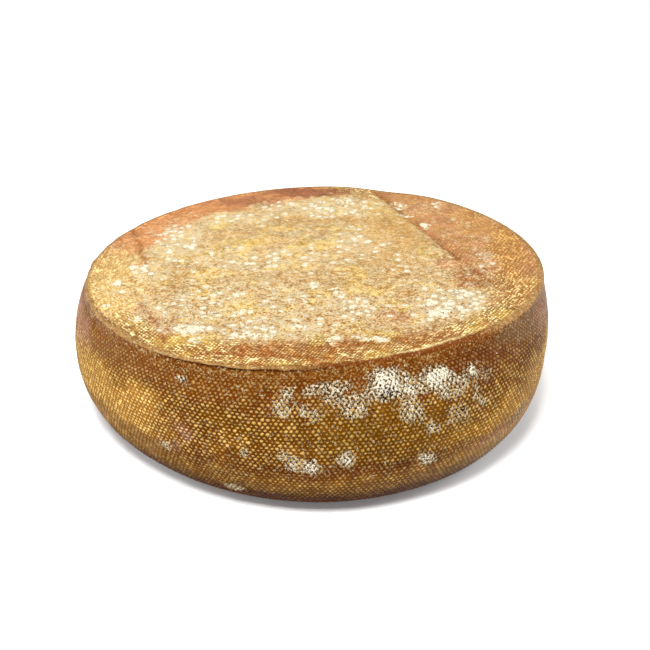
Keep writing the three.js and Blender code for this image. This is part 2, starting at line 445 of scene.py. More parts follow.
def push_out_of_round(obj, skin):
    """Moves every vertex from the plain turned shape to the wheel's own uneven one, and centres it.
    Gives back where its middle was."""
    angle, z = skin.angle, skin.z
    along, up = cloth_drift(angle, z)
    side_angle = angle + along / BELLY_RADIUS
    side_z = z + up
    side_radius = round_radius(side_angle, side_z) * out_of_round(side_angle, side_z)
    edge = round_radius(angle, HEIGHT) * out_of_round(angle, HEIGHT)
    top_share = skin.radius / NOMINAL_EDGE
    top_radius = skin.radius * (1 + (edge / NOMINAL_EDGE - 1) * top_share**2)
    base_share = skin.radius / BASE_RADIUS
    base_radius = skin.radius * (1 + (out_of_round(angle, 0) - 1) * base_share**2)
    radius = np.where(skin.on_top, top_radius, np.where(skin.on_base, base_radius, side_radius))
    turn = np.where(skin.on_side, side_angle, angle)
    x, y = radius * np.cos(turn), radius * np.sin(turn)
    relief = top_relief(x, y, top_share, angle)
    height = np.where(skin.on_top, HEIGHT + relief, np.where(skin.on_base, 0, side_z))
    points = np.column_stack([x, y, stand_taller(x, y, height)])
    middle = (points.min(axis=0) + points.max(axis=0)) / 2
    points[:, :2] -= middle[:2]
    put(obj, points)
    return middle[:2]


# ---------------------------------------------------------------- where the mould and the colours lie

FACING = -88  # the part of the side that faces the camera, in degrees round the wheel

# White mould on the side: degrees round the wheel, height, half width, half height, how thick
SIDE_MOULD = [
    (-97, 69, 4.4, 4.3, 0.55), (-96, 77, 3.4, 3.3, 0.42), (-90, 78, 4.5, 2.4, 0.45),
    (-92, 68, 4, 3, 0.3), (-85.2, 79.4, 8.5, 2.6, 0.55), (-85, 73.2, 6.5, 3.6, 0.34),
    (-80.5, 71, 9.5, 4.5, 0.3), (-81, 66.4, 6, 3.8, 0.62), (-72, 77.8, 8.5, 6.3, 0.9),
    (-67, 76.4, 3.3, 4.5, 0.85), (-67.3, 64.5, 5.4, 6, 0.56), (-59, 76, 8, 3.5, 0.9),
    (-56, 70.8, 9, 5, 0.52), (-64, 76, 4, 3, 0.6), (-64.6, 61, 3, 4.5, 0.6),
    (-49.8, 73.5, 2.2, 2.6, 0.95), (-47, 71, 4, 2.6, 0.24), (-50, 63, 2.6, 3, 0.36),
    (-48.3, 57.5, 2.1, 1.6, 0.8), (-55, 55.5, 6, 4, 0.4), (-62, 51.6, 3, 2.7, 0.6),
    (-63.4, 33.5, 4.5, 3.2, 0.75), (-94.2, 38.3, 3, 2.6, 0.7), (-90.6, 36.7, 4.3, 3.2, 0.72),
    (-96.3, 42.5, 2.4, 1.8, 0.5), (-82.6, 40.7, 4.3, 3.5, 0.85), (-89.3, 64.5, 2, 1.7, 0.55),
    (-121.4, 77.6, 4, 1.2, 0.6), (-105.7, 42.5, 1.3, 1, 0.7), (-109.4, 15.9, 6.5, 2, 0.7),
    (-126, 35.5, 2, 2.5, 0.4), (-31, 31, 7, 6, 0.26), (-38, 24, 5, 3, 0.2),
]
# Black pits in it, in the same manner
SIDE_PITS = [
    (-76.2, 63.3, 2.7, 5, 0.75), (-71.3, 59.2, 1.4, 1.2, 1), (-91.3, 41.5, 3.2, 2.2, 0.45),
    (-123.3, 78, 1.6, 1, 0.3), (-59.6, 61.3, 1.2, 1, 1), (-54.3, 58, 1.4, 1.4, 1),
    (-121.5, 77.5, 5, 3, 0.25), (-84, 74, 8, 3, 0.2), (-72, 73, 7, 3, 0.4),
]
# Where the film on the top is thick with white clumps: across and back from the middle, half width,
# half depth, how thick
FILM_CLUMPS = [
    (-41, -55, 48, 32, 0.21), (-66, -76, 16, 8, 0.35), (-20, -80, 26, 8, 0.32), (79, -50, 19, 17, 0.4),
    (22, -58, 20, 16, 0.24), (4, 92, 34, 15, 0.31), (-85, 45, 15, 27, 0.36), (-96, -5, 8, 12, 0.36),
    (32, 34, 18, 20, 0.24), (-30, 12, 40, 18, 0.22), (-56, 74, 26, 10, 0.28), (90, 60, 14, 26, 0.15),
    (76, 88, 12, 12, 0.22), (104, 4, 8, 16, 0.26), (102, 34, 12, 12, 0.18), (-115, -30, 10, 14, 0.2),
    (-90, -52, 9, 9, 0.28), (58, 4, 16, 22, 0.12),
]
# White mould on the top, in the same manner
TOP_MOULD = [
    (-66, -76, 9, 3.5, 0.95), (-39, -84, 5, 4, 0.9), (-26, -84, 7, 4, 0.85), (-63, -90, 3, 4, 0.8),
    (13, -91, 4, 4, 0.95), (27.5, -90, 3, 2.6, 1), (38, -90.5, 5, 2.6, 1.15), (2, -24, 3, 3, 1),
    (14, -28, 2.5, 2.5, 1), (17, -37, 2, 5, 0.8), (-5, -45, 2.2, 3, 0.9), (28, -50.5, 4, 1.5, 0.8),
    (64, -70, 3.4, 3, 0.9), (76, -61, 10, 9, 0.6), (-103.5, 1, 4, 5, 0.95), (-114, -19, 3.5, 3.5, 0.8),
    (-116, -50.5, 3, 2.5, 0.85), (-97, -63, 4, 3, 0.85), (-30, 88, 5, 2.5, 0.7), (8, 92, 9, 4, 0.6),
    (24, 100, 5, 7, 0.7), (31, 86, 4, 3, 0.6), (-8, 84, 4, 3, 0.6), (-110, -48, 3, 2, 0.6),
    (59, 93, 5, 5, 0.6), (64, 79.5, 3, 5, 0.55), (74, 61, 2.4, 3.2, 0.8), (84, 94.5, 3, 4, 0.6),
    (107, 16, 6, 5, 0.5), (105.5, -1, 4, 8, 0.55), (90.5, -41, 2.2, 2.2, 1), (-9, -73, 6, 3, 0.6),
    (-56, -60, 5, 3, 0.6), (-35, -70, 5, 3, 0.6), (80, -56, 6, 3, 0.7), (70, -52, 4, 3, 0.6),
]


def patches(u, v, places_and_sizes):
    """The strongest of some soft round patches at each place."""
    strongest = np.zeros(len(u))
    for u0, v0, half_u, half_v, thick in places_and_sizes:
        apart = np.hypot((u - u0) / half_u, (v - v0) / half_v)
        strongest = np.maximum(strongest, thick * (1 - smooth(apart, 0.55, 1.75)))
    return strongest


def hidden_patches(seed):
    """Mould patches for the part of the side that faces away, in the manner of the rest."""
    draw = random.Random(seed)
    made = []
    for _ in range(16):
        made.append((draw.uniform(20, 160), draw.gauss(68, 9), draw.uniform(2, 8),
                     draw.uniform(1.6, 5), draw.uniform(0.4, 1)))
    for _ in range(7):
        made.append((draw.uniform(0, 190), draw.gauss(36, 5), draw.uniform(2, 5),
                     draw.uniform(1.5, 3.5), draw.uniform(0.5, 0.9)))
    return made


def linear(hex_colour):
    """An sRGB colour such as "c9a15f" as linear red, green and blue."""
    parts = [int(hex_colour[i:i + 2], 16) / 255 for i in (0, 2, 4)]
    return np.array([p / 12.92 if p <= 0.04045 else ((p + 0.055) / 1.055) ** 2.4 for p in parts])


# Each ground colour of the rind: between the knobs, and on their crests
OCHRE = ("593001", "a88644")
OLIVE = ("593402", "846426")
GOLDEN = ("895715", "cbab65")
RUDDY = ("5c2c05", "93743f")
MAUVE = ("805441", "c49d81")
PLUM = ("461b02", "6b4323")
TAN = ("81560f", "c2984d")
ROSY = ("3b1101", "4e2a0e")
# Painted shade near the base
BASE_SHADE = ("270600", "5c3204")
GOLD = ("7e5323", "e4d49a")
FILM = ("a0814e", "baae90")
YOLK = ("ae8c40", "cfb46a")
OAT = ("876335", "ad8a5a")
HONEY = ("996e36", "b6965c")
RUST = ("a36a40", "bf9060")
CREASE = ("744019", "a56c3a")
AMBER = ("7c400f", "c38b40")
ROSE = ("764632", "976445")
BROWN = ("9a683f", "ad855f")
EDGE = ("8f5e2c", "cca662")
TALLOW = ("825f35", "b08e5d")
DRAB = ("5e300e", "814b20")
BUTTER = ("a58148", "dcc488")
# Painted shade for the lip's undercut and for the groove inside it
GROOVE_SHADE = ("2e0a01", "5a2208")
DUSTY = ("5c3f25", "8f704b")

# Stains on the side: degrees round the wheel, height, half width, half height, colour, how strong. The
# mauve one at the far left edge, at -168 degrees, is partly painted sheen, where the side turns away and
# reflects the white around it
SIDE_STAINS = [
    (-168, 70, 13, 14, MAUVE, 0.5), (-148, 48, 22, 20, GOLDEN, 0.8), (-133, 48, 12, 18, GOLDEN, 0.5),
    (-120, 52, 7, 12, RUDDY, 0.4), (-126, 36, 3, 4, MAUVE, 0.5), (-119, 48, 3, 5, MAUVE, 0.5),
    (-71, 52, 22, 15, OLIVE, 0.8), (-35, 35, 22, 17, TAN, 0.85), (-14, 48, 11, 17, TAN, 0.85),
    (-20, 44, 11, 16, GOLDEN, 0.5), (-50, 42, 10, 8, TAN, 0.45), (-35, 61, 16, 9, OCHRE, 0.9),
    (-33, 67, 12, 5, PLUM, 0.5), (-46, 77, 11, 10, PLUM, 0.6), (-29, 79.5, 11, 8.5, DUSTY, 0.95),
    (-12, 76, 11, 13, MAUVE, 0.35), (-40, 30, 14, 6, MAUVE, 0.35), (-120, 33, 60, 6, ROSY, 0.35),
    (-60, 33, 45, 6, ROSY, 0.45), (-90, 20, 90, 5, ROSY, 0.35), (-85, 31, 12, 4, RUDDY, 0.6),
    (120, 66, 40, 12, RUDDY, 0.5), (60, 40, 30, 18, TAN, 0.6), (150, 44, 22, 16, GOLDEN, 0.7),
]
# The same on the top: across and back from the middle, half width, half depth, colour, how strong
TOP_STAINS = [
    (-38, -52, 9, 16, YOLK, 0.9), (-40, 38, 16, 6, YOLK, 0.6), (-60, -4, 18, 6, YOLK, 0.6),
    (30, -34, 14, 6, YOLK, 0.6), (4, 32, 12, 7, YOLK, 0.6), (50, 44, 18, 42, HONEY, 0.75),
    (-6, 70, 30, 8, HONEY, 0.4), (118, -28, 13, 26, EDGE, 0.8), (47, -65, 14, 8, BROWN, 0.9),
    (-116, -24, 24, 50, BUTTER, 0.95), (-76, -92, 12, 7, YOLK, 0.6), (-18, -104, 30, 8, CREASE, 0.6),
    (62, -94, 26, 8, CREASE, 0.5), (20, -98, 26, 6, CREASE, 0.7), (-78, -72, 5, 12, CREASE, 0.6),
    (-60, -86, 12, 5, YOLK, 0.8), (-96, -52, 5, 8, RUST, 0.5), (95, -19, 13, 16, CREASE, 0.85),
    (86, 4, 12, 8, RUST, 0.7), (97, -4, 6, 10, CREASE, 0.6), (112, -32, 12, 26, GOLD, 0.5),
    (120, 20, 11, 44, EDGE, 0.8), (104, 66, 10, 22, EDGE, 0.5), (-4, 118, 32, 9, ROSE, 0.9),
    (-46, 100, 26, 9, ROSE, 0.6), (-112, 34, 6, 14, RUST, 0.6), (-104, 8, 4, 8, RUST, 0.4),
]
# Dark streaks in the top, each from one place to another, with its half width
TOP_STREAKS = [(-114, 58, -96, -8, 1.8), (-97, -46, -79, -92, 2.2), (-60, -106, 20, -112, 1.6)]


def streaked(x, y, streaks):
    """How dark each place is with streaks that run straight from one place to another."""
    darkest = np.zeros(len(x))
    for x0, y0, x1, y1, half_width in streaks:
        length = math.hypot(x1 - x0, y1 - y0)
        share = np.clip(((x - x0) * (x1 - x0) + (y - y0) * (y1 - y0)) / length**2, 0, 1)
        apart = np.hypot(x - x0 - share * (x1 - x0), y - y0 - share * (y1 - y0))
        darkest = np.maximum(darkest, bump(apart, half_width))
    return darkest


def layer_over(ground, pair, amount):
    """Both colours of a ground, with another pair laid over them."""
    return [g + (linear(c)[None] - g) * amount[:, None] for g, c in zip(ground, pair)]


def stain(ground, u, v, stains):
    for u0, v0, half_u, half_v, pair, strength in stains:
        apart = np.hypot((u - u0) / half_u, (v - v0) / half_v)
        ground = layer_over(ground, pair, strength * (1 - smooth(apart, 0.5, 1.35)))
    return ground


def along_side(degrees, patch_list):
    """The same patches with their place round the wheel in millimetres."""
    per_degree = math.radians(1) * BELLY_RADIUS
    return [(u0 * per_degree, v0, hu, hv, thick) for u0, v0, hu, hv, thick in patch_list]


class Paint:
    """What lies on the rind at each vertex: its colours, how much print, mould, pits and film, and how
    far it is worn smooth, which also dims the painted highlight on the knobs. Lengths are in millimetres,
    and three noises shift the borders of what lies there, so that none is a clean line."""

    def __init__(self, skin, points):
        # From the widest noise to the finest, each between -0.5 and 0.5
        self.blot = mottle(points, 17, 3, 3.1) - 0.5
        self.patch = mottle(points, 6, 3, 11.7) - 0.5
        self.speck = mottle(points, 2.4, 2, 23.9) - 0.5
        side, top = self.paint_side(skin), self.paint_top(skin, points)
        top_here = skin.on_top[:, None]
        self.valley = np.where(top_here, top[0], side[0])
        self.crest = np.where(top_here, top[1], side[1])
        self.printed = np.where(skin.on_top, self.top_printed, self.side_printed)
        self.mould = np.where(skin.on_top, self.top_mould, self.side_mould)
        self.pits = np.where(skin.on_top, self.top_pits, self.side_pits)
        self.film = np.where(skin.on_top, self.top_film, 0)
        self.wear_and_highlight = np.where(skin.on_top, self.top_rubbed, self.side_rubbed)

    def paint_side(self, skin):
        degrees = np.degrees(skin.angle)
        degrees = np.where(degrees > 170, degrees - 360, degrees)  # so that stains run on past -180
        z, blot, patch, speck = skin.z, self.blot, self.patch, self.speck
        shaky = z + 15 * blot + 8 * patch
        ground = [np.tile(linear(c), (len(z), 1)) for c in OCHRE]
        ground = layer_over(ground, RUDDY, smooth(blot + 0.5 * patch, 0.0, 0.3) * 0.4)
        ground = layer_over(ground, GOLDEN, smooth(-blot + 0.5 * patch, 0.05, 0.35) * 0.4)
        ground = layer_over(ground, RUDDY, smooth(shaky, 62, 74) * 0.9)
        ground = stain(ground, degrees + 8 * blot + 5 * patch, z + 9 * blot + 6 * patch, SIDE_STAINS)
        # Painted shade: the side is darker towards the base, where it curves under away from the light
        ground = layer_over(ground, BASE_SHADE, 1 - smooth(z + 4 * blot + 3 * patch, 12, 21))
        u = np.radians(degrees) * BELLY_RADIUS
        warped_u = u + 5 * patch + 3 * speck
        warped_z = z + 4 * blot + 3 * speck
        self.side_mould = patches(warped_u, warped_z, along_side(degrees, SIDE_MOULD + hidden_patches(4)))
        self.side_pits = patches(warped_u, warped_z, along_side(degrees, SIDE_PITS))
        drop = HEIGHT - z
        top_band = 1 - 0.45 * smooth(shaky, 66, 76)
        low_band = 1 - 0.3 * bump(z - 31, 9)
        printed = smooth(z, 1.5, 9) * smooth(drop, 3.5, 7) * top_band * low_band
        self.side_printed = np.clip(printed * (0.95 + 0.9 * blot + 0.7 * patch), 0, 1.1)
        to_the_sides = smooth(np.abs(degrees - FACING), 25, 65) * smooth(drop, 2, 12)
        at_the_ends = np.where(degrees > FACING, 0.4, 0.7) * to_the_sides
        self.side_rubbed = np.clip(at_the_ends + 0.8 * (1 - smooth(z, 18, 34)), 0, 1)
        # Painted shadow: a dark line just under the lip at the front, in the undercut where shade falls
        groove_shade = 1 - smooth(np.abs(degrees - math.degrees(UNDERCUT_TURN)), 16, 27)
        ground = layer_over(ground, GROOVE_SHADE, groove_shade * bump(drop - 1.45, 0.45))
        lip_height = 0.65 + 1.1 * bump_round(skin.angle, math.radians(-24), math.radians(34))
        lip = 1 - smooth(drop + patch + speck, lip_height, lip_height + 0.6)
        worn = smooth(degrees, -98, -82) * (1 - smooth(degrees, -48, -34))
        ground = layer_over(ground, TALLOW, lip * (1 - worn))
        return layer_over(ground, DRAB, lip * worn)

    def paint_top(self, skin, points):
        x, y = points[:, 0], points[:, 1]
        blot, patch, speck = self.blot, self.patch, self.speck
        angle, degrees = skin.angle, np.degrees(skin.angle)
        from_edge = NOMINAL_EDGE - skin.radius
        shaky_edge = from_edge + 14 * blot + 8 * patch
        run, left = fold_place(x, y)
        ragged = left + 3 * patch + 2 * speck
        beyond_fold = (1 - smooth(ragged, -2, 2)) * (1 - smooth(run, 150, 175))
        front = smooth(-y + 14 * blot + 10 * patch, 84, 96)
        back_left = smooth(degrees, 78, 92) * (1 - smooth(degrees, 160, 176))
        film = smooth(shaky_edge - 9 * back_left, 12, 24) * (1 - beyond_fold) * (1 - front)
        ground = [np.tile(linear(c), (len(x), 1)) for c in GOLD]
        ground = layer_over(ground, YOLK, smooth(blot + patch, 0.05, 0.3) * 0.6)
        ground = layer_over(ground, BROWN, smooth(-blot + patch, 0.1, 0.35) * 0.6)
        ground = layer_over(ground, BROWN, 0.95 * beyond_fold)
        ground = layer_over(ground, HONEY, beyond_fold * smooth(patch - 0.4 * blot, 0.0, 0.25) * 0.6)
        ground = layer_over(ground, RUST, back_left * (1 - smooth(shaky_edge, 22, 32)))
        ground = layer_over(ground, FILM, film)
        ground = layer_over(ground, YOLK, film * smooth(blot + 0.8 * patch, 0.06, 0.24) * 0.8)
        ground = layer_over(ground, OAT, film * smooth(0.8 * patch - 0.5 * speck, 0.05, 0.22) * 0.75)
        ground = layer_over(ground, HONEY, film * smooth(-blot - 0.6 * patch, 0.03, 0.2) * 0.6)
        ground = layer_over(ground, AMBER, front * smooth(patch - 0.6 * blot, 0.02, 0.2) * 0.7)
        fold_here = (1 - smooth(run, 140, 165)) * smooth(run, -30, -10)
        ground = layer_over(ground, CREASE, 0.6 * bump(left + 1.5 + 4 * patch, 2.8) * fold_here)
        broken = smooth(patch + 0.6 * speck - 0.4 * blot, -0.16, 0.12)
        ground = layer_over(ground, RUDDY, 0.7 * broken * bump(left + 0.5 + 2 * patch, 1.3) * fold_here)
        ground = stain(ground, x + 12 * blot + 8 * patch, y + 12 * patch + 8 * blot, TOP_STAINS)
        streaks = streaked(x + 5 * patch, y + 5 * blot, TOP_STREAKS)
        ground = layer_over(ground, CREASE, 0.9 * streaks * smooth(patch + 0.8 * speck, -0.45, -0.02))
        inset, clear = lip_groove_place(angle)
        front_band = bump_round(angle, math.radians(FACING), math.radians(30))
        band = np.maximum(0.8 + 0.8 * front_band, inset * clear)
        rim_band = 1 - smooth(from_edge + 1.5 * speck, band - 0.3, band + 0.5)
        crumbling = 0.35 + 0.65 * smooth(speck + 0.5 * patch, -0.14, 0.06)
        ground = layer_over(ground, TALLOW, rim_band * crumbling * (1 - 0.8 * back_left))
        at_the_front = bump_round(angle, math.radians(-94), math.radians(26))
        lip_line = bump(from_edge - band - 0.3, 0.45) * at_the_front
        ground = layer_over(ground, RUDDY, 0.8 * lip_line)
        rubbed_edge = bump(from_edge - 2.4 + 2 * patch, 0.8) * bump_round(angle, math.radians(-57), 0.17)
        ground = layer_over(ground, (GOLD[1], GOLD[1]), 0.8 * rubbed_edge)
        # Painted shade: a dark line along the groove inside the lip at the front left, where shade falls
        groove_shade = clear * bump_round(angle, math.radians(-156), 0.32) * bump(from_edge - inset, 0.55)
        ground = layer_over(ground, GROOVE_SHADE, 0.75 * groove_shade)
        warped = (x + 7 * patch + 4 * speck, y + 7 * blot + 4 * speck)
        clumps = patches(x + 12 * blot, y + 12 * patch, FILM_CLUMPS)
        here = patches(*warped, TOP_MOULD) * (0.4 + 0.9 * smooth(speck + 0.6 * patch, -0.12, 0.12))
        self.top_mould = np.maximum(here, clumps + 0.12 * film) * (1 - rim_band)
        self.top_pits = film * smooth(-speck - 0.5 * patch, 0.05, 0.3) * (0.35 + clumps)
        left_belt = (1 - smooth(x + 10 * patch, -106, -88)) * smooth(y + 10 * patch, -75, -50)
        by_right_rim = smooth(x + 6 * patch, 70, 92) * (1 - smooth(y + 10 * blot, 22, 52))
        hazy = beyond_fold * smooth(y, -30, 25) * (1 - by_right_rim)
        bare = (1 - 0.8 * film) * (1 - 0.5 * hazy) * (1 - 0.5 * back_left)
        bare = bare * (1 - 0.7 * left_belt) * (1 - 0.6 * rim_band)
        self.top_printed = np.clip(bare * (0.85 + 1.2 * blot + 1.2 * patch), 0, 1)
        inwards = 0.3 + 0.7 * smooth(from_edge, 2, 8)
        self.top_rubbed = smooth(y, -80, 60) * (1 - 0.8 * by_right_rim) * inwards
        dusty = 0.3 * beyond_fold * smooth(blot + 1.2 * patch, -0.1, 0.2)
        calm = patches(x, y, [(50, 44, 22, 44, 0.55)])
        speckled = 0.7 * left_belt * smooth(patch + blot, -0.15, 0.1)
        self.top_film = np.maximum(film * (0.75 + patch) * (1 - calm), np.maximum(dusty, speckled))
        return ground


def write_colours(obj, name, rgb, alpha):
    layer = obj.data.color_attributes.new(name=name, type="FLOAT_COLOR", domain="POINT")
    layer.data.foreach_set("color", np.column_stack([rgb, alpha]).ravel())


def push_by_group(obj, name, weights, distance):
    """A vertex group filled in steps of weight, and a displacement along the normals that it drives."""
    group = obj.vertex_groups.new(name=name)
    steps = np.round(np.clip(weights, 0, 1) * WEIGHT_STEPS).astype(int)
    for step in range(1, WEIGHT_STEPS + 1):
        chosen = np.flatnonzero(steps == step)
        if len(chosen):
            group.add(chosen.tolist(), step / WEIGHT_STEPS, "REPLACE")
    only(obj)
    push = obj.modifiers.new(name, "DISPLACE")
    push.vertex_group = name
    push.mid_level = 0
    push.strength = distance * MM
    bpy.ops.object.modifier_apply(modifier=push.name)


def press_print(obj, skin, paint):
    """Raises the knobs of the cloth's print, sinks the rind between them, and roughens the mould."""
    draw = np.random.default_rng(7)
    strength = np.clip(paint.printed, 0, 1) * draw.uniform(0.7, 1.0, len(skin.z)) * ~skin.on_base
    raised = strength * np.maximum(skin.knob, 0)
    sunk = strength * np.maximum(-skin.knob, 0)
    push_by_group(obj, "crests", raised, KNOB_RISE / 2)
    push_by_group(obj, "valleys", sunk, -KNOB_RISE / 2)
    crust = smooth(paint.mould, 0.3, 0.8) * draw.uniform(0.25, 1, len(skin.z)) * ~skin.on_base
    push_by_group(obj, "crust", crust, CRUST_RISE)
    holes = smooth(paint.pits, 0.6, 1) * draw.uniform(0, 1, len(skin.z)) ** 2 * ~skin.on_base
    push_by_group(obj, "pits", holes, -PIT_DEPTH)


# ---------------------------------------------------------------- materials


def add(tree, kind, values=(), **settings):
    """Adds a node with its settings, and sets or links its sockets."""
    made = tree.nodes.new(kind)
    for name, value in settings.items():
        setattr(made, name, value)
    for socket, value in values:
        if isinstance(value, bpy.types.NodeSocket):
            tree.links.new(value, made.inputs[socket])
        else:
            made.inputs[socket].default_value = value
    return made


def rgba(hex_colour):
    return (*linear(hex_colour), 1)


def new_material(name):
    made = bpy.data.materials.new(name)
    made.use_nodes = True
    made.node_tree.nodes.clear()
    return made, made.node_tree


def washed_rind():
    """Washed rind of a pressed cheese: waxy and brown between the knobs of the cloth's print, worn to
    gold on their crests, where each knob also gets a painted highlight on its upper side and painted
    shade below, with a dry white mould that fills the print from between the knobs."""
    material, tree = new_material("washed_rind")

    def calc(operation, a, b=0.0, c=0.0):
        return add(tree, "ShaderNodeMath", [(0, a), (1, b), (2, c)], operation=operation).outputs[0]

    def ramp(value, low, high, to_low=0.0, to_high=1.0):
        sockets = [(0, value), (1, low), (2, high), (3, to_low), (4, to_high)]
        made = add(tree, "ShaderNodeMapRange", sockets, interpolation_type="SMOOTHSTEP")
        return made.outputs[0]

    def mix_values(factor, a, b):
        return calc("MULTIPLY_ADD", calc("SUBTRACT", b, a), factor, a)

    def strayed(base, *grains):
        """A value, moved by how far each grain strays from one half, times that grain's amount."""
        for value, amount in grains:
            base = calc("MULTIPLY_ADD", calc("SUBTRACT", value, 0.5), amount, base)
        return base

    def painted(name):
        outputs = add(tree, "ShaderNodeAttribute", attribute_name=name).outputs
        return outputs["Color"], outputs["Alpha"]

    def split(colour):
        return add(tree, "ShaderNodeSeparateColor", [(0, colour)]).outputs

    def vectors(operation, *values):
        return add(tree, "ShaderNodeVectorMath", enumerate(values), operation=operation).outputs

    def scaled(vector, by):
        sockets = [(0, vector), ("Scale", by)]
        return add(tree, "ShaderNodeVectorMath", sockets, operation="SCALE").outputs[0]

    def grain(size, detail=2.0):
        sockets = [("Vector", millimetres), ("Scale", 1 / size), ("Detail", detail), ("Roughness", 0.6)]
        return add(tree, "ShaderNodeTexNoise", sockets)

    def mix(factor, a, b):
        sockets = [(0, factor), (6, a), (7, b)]
        return add(tree, "ShaderNodeMix", sockets, data_type="RGBA").outputs[2]

    millimetres = scaled(add(tree, "ShaderNodeTexCoord").outputs["Object"], 1 / MM)
    valley, flat = painted("valley")
    crest, worn = painted("crest")
    covered, film = painted("covered")
    printed, mould, pits = split(covered)

    # The cloth's weave, pulled about a little: rows of knobs, each row half a knob on from the last
    cloth = add(tree, "ShaderNodeUVMap", uv_map="cloth").outputs[0]
    pull = vectors("SUBTRACT", grain(4.0).outputs["Color"], (0.5, 0.5, 0.5))[0]
    pulled = vectors("MULTIPLY_ADD", pull, (1.1, 0.9, 0.0), cloth)[0]
    lattice = add(tree, "ShaderNodeSeparateXYZ", [(0, pulled)]).outputs
    fall = calc("ROUND", calc("MULTIPLY", calc("ADD", lattice[0], lattice[1]), 0.5))
    climb = calc("ROUND", calc("MULTIPLY", calc("SUBTRACT", lattice[0], lattice[1]), 0.5))
    beside = calc("SUBTRACT", lattice[0], calc("ADD", fall, climb))
    above = calc("SUBTRACT", lattice[1], calc("SUBTRACT", fall, climb))
    own_knob = add(tree, "ShaderNodeCombineXYZ", [(0, fall), (1, climb)]).outputs[0]
    # upper rises from 0 below each knob to 1 on its upper side; it drives painted light and shade on the
    # knobs and on the mould
    upper = ramp(above, -0.6, 0.5)
    luck = add(tree, "ShaderNodeTexWhiteNoise", [("Vector", own_knob)], noise_dimensions="2D")
    lucks = split(luck.outputs["Color"])

    # Fine streaks that run round the wheel, 3.6 mm long and 1.15 mm wide
    across = vectors("MULTIPLY", millimetres, (1.0, 1.0, 0.0))[0]
    spoke = vectors("LENGTH", across)["Value"]
    rounded = scaled(vectors("NORMALIZE", across)[0], NOMINAL_EDGE / 3.6)
    brushed = add(tree, "ShaderNodeCombineXYZ", [(2, calc("MULTIPLY", spoke, 1 / 1.15))]).outputs[0]
    brushed = vectors("ADD", rounded, brushed)[0]
    streaks = add(tree, "ShaderNodeTexNoise", [("Vector", brushed), ("Scale", 1.0), ("Detail", 3.0)])
    streaks = calc("SUBTRACT", streaks.outputs[0], 0.5)

    # Grains from the finest to the widest. Worn rind shows less of the fine ones
    fine = mix_values(calc("MULTIPLY", worn, 0.6), grain(0.6, 3.0).outputs[0], 0.5)
    ragged = grain(1.3, 3.0).outputs[0]
    crumbs = mix_values(calc("MULTIPLY", worn, 0.45), ragged, 0.5)
    knobby = grain(2.8).outputs[0]
    clumpy = grain(4.2, 3.0).outputs[0]
    blotchy = grain(9.0, 4.0).outputs[0]

    # How far each place lies from its own knob's crest, and from a dark dot painted just below that knob,
    # which stands for the shade under it and for a pore in the mould
    beside = calc("MULTIPLY", beside, 0.8)
    above = calc("MULTIPLY", above, 1.3)
    apart = calc("SQRT", calc("MULTIPLY_ADD", beside, beside, calc("MULTIPLY", above, above)))
    under = calc("ADD", above, 0.95)
    under = calc("SQRT", calc("MULTIPLY_ADD", beside, beside, calc("MULTIPLY", under, under)))
    pores_and_shade = calc("MULTIPLY", ramp(under, 0.46, 0.2), lucks[1])
    knobs = ramp(strayed(apart, (lucks[0], 0.34), (crumbs, 0.8)), 0.84, 0.1)
    tops = calc("MULTIPLY", knobs, printed)

    # How high it stands, and so how much of the crests' colour it has
    unprinted = strayed(0.45, (knobby, 1.0), (crumbs, 2.0), (fine, 1.4))
    height = mix_values(printed, unprinted, knobs)
    brushed_height = calc("MULTIPLY_ADD", streaks, 2.2, calc("MULTIPLY_ADD", height, 0.55, 0.22))
    height = mix_values(flat, height, brushed_height)
    soft_height = strayed(calc("MULTIPLY_ADD", height, 0.3, 0.38), (clumpy, 1.4))
    height = mix_values(film, height, soft_height)
    on_crest = mix_values(calc("MULTIPLY", worn, 0.3), ramp(height, 0.3, 0.95), 0.5)
    # Painted light and shade on the knobs: each crest is painted lighter on its upper side and darker
    # below, as if lit from above, on top of a random tone for each knob
    shading = strayed(calc("MULTIPLY_ADD", lucks[1], 0.8, -0.4), (upper, 1.0))
    shading = mix_values(calc("MULTIPLY", worn, 0.5), shading, 0.0)
    crest_shade = calc("MULTIPLY_ADD", shading, calc("MULTIPLY", printed, 0.8), 1.0)
    colour = mix(on_crest, valley, scaled(crest, crest_shade))
    # A painted highlight: a pale gold spot on the upper side of each knob's top, dimmed where the rind is
    # worn
    wear_and_highlight = calc("MULTIPLY", ramp(height, 0.7, 1.0), calc("MULTIPLY", lucks[2], upper))
    wear_and_highlight = calc("MULTIPLY", wear_and_highlight, calc("MULTIPLY_ADD", worn, -0.5, 0.55))
    colour = mix(wear_and_highlight, colour, rgba("d0ab6c"))
    shade = calc("MULTIPLY", mix_values(film, crumbs, clumpy), 0.5)
    shade = ramp(calc("MULTIPLY_ADD", blotchy, 0.5, shade), 0.3, 0.7, 0.72, 1.25)
    colour = scaled(colour, shade)

    # The film over the top is a felt of pale crumbs on darker ground
    felt = strayed(calc("SUBTRACT", knobby, 0.5), (crumbs, 1.6), (fine, 0.6))
    pale = calc("MULTIPLY", ramp(felt, -0.05, 0.3), calc("MULTIPLY", film, 0.4))
    colour = mix(pale, colour, rgba("b6a888"))
    crisp = calc("MULTIPLY", film, calc("MULTIPLY_ADD", worn, -0.8, 1.0))
    flecked = calc("MULTIPLY_ADD", crisp, 0.45, calc("MULTIPLY", film, 0.42))
    flecks = calc("MULTIPLY", ramp(felt, 0.2, 0.36), flecked)
    colour = mix(flecks, colour, rgba("d0c9b8"))
    dark = calc("MULTIPLY", ramp(felt, 0.0, -0.24), crisp)
    colour = mix(dark, colour, rgba("784a22"))

